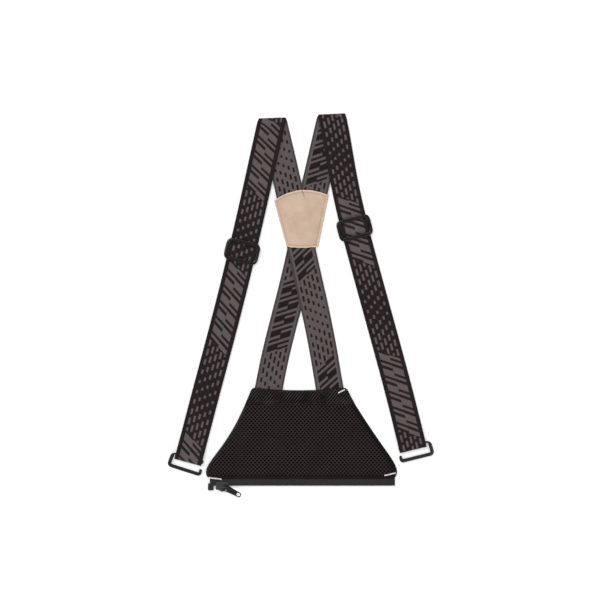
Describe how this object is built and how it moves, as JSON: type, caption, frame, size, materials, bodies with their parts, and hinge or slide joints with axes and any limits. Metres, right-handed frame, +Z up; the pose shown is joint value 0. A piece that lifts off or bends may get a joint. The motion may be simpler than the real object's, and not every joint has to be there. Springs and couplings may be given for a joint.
{
  "type": "X-back suspenders",
  "caption": "X-back elastic suspenders with a leather crossing patch, tri-glide adjusters, open hooks and a padded air-mesh back panel with half a separating zipper.",
  "frame": {"origin": "under the middle of the bounding box, on the surface that the suspenders lie on", "axes": "+X to the right as laid out with the back panel towards the viewer, +Y from the back panel to the shoulder folds, +Z up off the surface"},
  "size_m": [0.3844, 0.5564, 0.009],
  "materials": {
    "webbing_face": "matte elastic webbing, dark ground with a grey woven motif",
    "webbing_reverse": "matte elastic webbing, the reverse of the weave: grey ground with dark dashes",
    "adjuster_plastic": "moulded black plastic, satin",
    "hook_metal": "black coated steel, satin",
    "patch_leather": "tan suede leather, matte",
    "air_mesh": "black spacer mesh with staggered holes",
    "panel_foam": "open-cell foam pad",
    "panel_lining": "black woven lining",
    "white_thread": "white sewing thread",
    "zipper_tape": "black woven tape",
    "zipper_plastic": "moulded black plastic",
    "slider_metal": "dark grey coated metal"
  },
  "bodies": {
    "harness": {"left_rear_strap": "webbing_reverse", "right_rear_strap": "webbing_reverse", "crossing_patch_front": "patch_leather", "crossing_patch_back": "patch_leather", "panel_back_face": "panel_lining", "panel_foam": "panel_foam", "panel_mesh_face": "air_mesh", "panel_top_hem": "air_mesh", "lower_left_bar_tack": "white_thread", "lower_right_bar_tack": "white_thread", "upper_right_bar_tack": "white_thread", "zipper_tape": "zipper_tape", "zipper_coil": "zipper_plastic", "zipper_retainer_box": "zipper_plastic", "zipper_top_stop": "zipper_plastic"},
    "left_front": {"left_shoulder_bend": "webbing_face", "left_front_strap": "webbing_face"},
    "left_adjuster": {"left_adjuster_frame": "adjuster_plastic", "left_adjuster_wave": "webbing_face", "left_strap_end_loop": "webbing_face", "left_lower_strap": "webbing_face", "left_strap_tail": "webbing_reverse"},
    "left_loop": {"left_hook_loop": "webbing_face"},
    "left_hook": {"left_hook": "hook_metal"},
    "right_front": {"right_shoulder_bend": "webbing_face", "right_front_strap": "webbing_face"},
    "right_adjuster": {"right_adjuster_frame": "adjuster_plastic", "right_adjuster_wave": "webbing_face", "right_strap_end_loop": "webbing_face", "right_lower_strap": "webbing_face", "right_strap_tail": "webbing_reverse"},
    "right_loop": {"right_hook_loop": "webbing_face"},
    "right_hook": {"right_hook": "hook_metal"},
    "zipper_slider": {"zipper_slider": "slider_metal"},
    "zipper_pull": {"zipper_pull": "slider_metal"}
  },
  "joints": [
    {"name": "left_shoulder_fold", "type": "hinge", "parent": "harness", "child": "left_front", "pos_m": [-0.0413, 0.2699, 0.0016], "axis": [-0.9993, -0.0366, 0], "range_deg": [0, 170], "deforming": ["left_shoulder_bend"]},
    {"name": "left_adjust", "type": "slide", "parent": "left_front", "child": "left_adjuster", "axis": [0.2308, 0.973, 0], "range_m": [-0.12, 0.07], "deforming": ["left_front_strap"]},
    {"name": "left_loop_follow", "type": "slide", "parent": "left_adjuster", "child": "left_loop", "axis": [0.2505, 0.9681, 0], "range_m": [-0.036, 0.061], "deforming": ["left_lower_strap", "left_strap_tail"]},
    {"name": "left_hook_swing", "type": "hinge", "parent": "left_loop", "child": "left_hook", "pos_m": [-0.16176, -0.22108, 0.0032], "axis": [-0.9517, 0.3071, 0], "range_deg": [0, 150]},
    {"name": "right_shoulder_fold", "type": "hinge", "parent": "harness", "child": "right_front", "pos_m": [0.04501, 0.2757, 0.0016], "axis": [-0.9989, -0.0471, 0], "range_deg": [0, 170], "deforming": ["right_shoulder_bend"]},
    {"name": "right_adjust", "type": "slide", "parent": "right_front", "child": "right_adjuster", "axis": [-0.245, 0.9695, 0], "range_m": [-0.12, 0.033], "deforming": ["right_front_strap"]},
    {"name": "right_loop_follow", "type": "slide", "parent": "right_adjuster", "child": "right_loop", "axis": [-0.2568, 0.9665, 0], "range_m": [-0.0175, 0.061], "deforming": ["right_lower_strap", "right_strap_tail"]},
    {"name": "right_hook_swing", "type": "hinge", "parent": "right_loop", "child": "right_hook", "pos_m": [0.1624, -0.20288, 0.0032], "axis": [-0.9709, -0.2393, 0], "range_deg": [0, 150]},
    {"name": "zip_slide", "type": "slide", "parent": "harness", "child": "zipper_slider", "axis": [1, 0, 0], "range_m": [0, 0.235]},
    {"name": "pull_flip", "type": "hinge", "parent": "zipper_slider", "child": "zipper_pull", "pos_m": [-0.11076, -0.2628, 0.0062], "axis": [-0.4695, -0.8829, 0], "range_deg": [0, 150]}
  ],
  "couplings": [
    {"joint": "left_loop_follow", "follows": "left_adjust", "ratio": -0.5},
    {"joint": "right_loop_follow", "follows": "right_adjust", "ratio": -0.5}
  ]
}
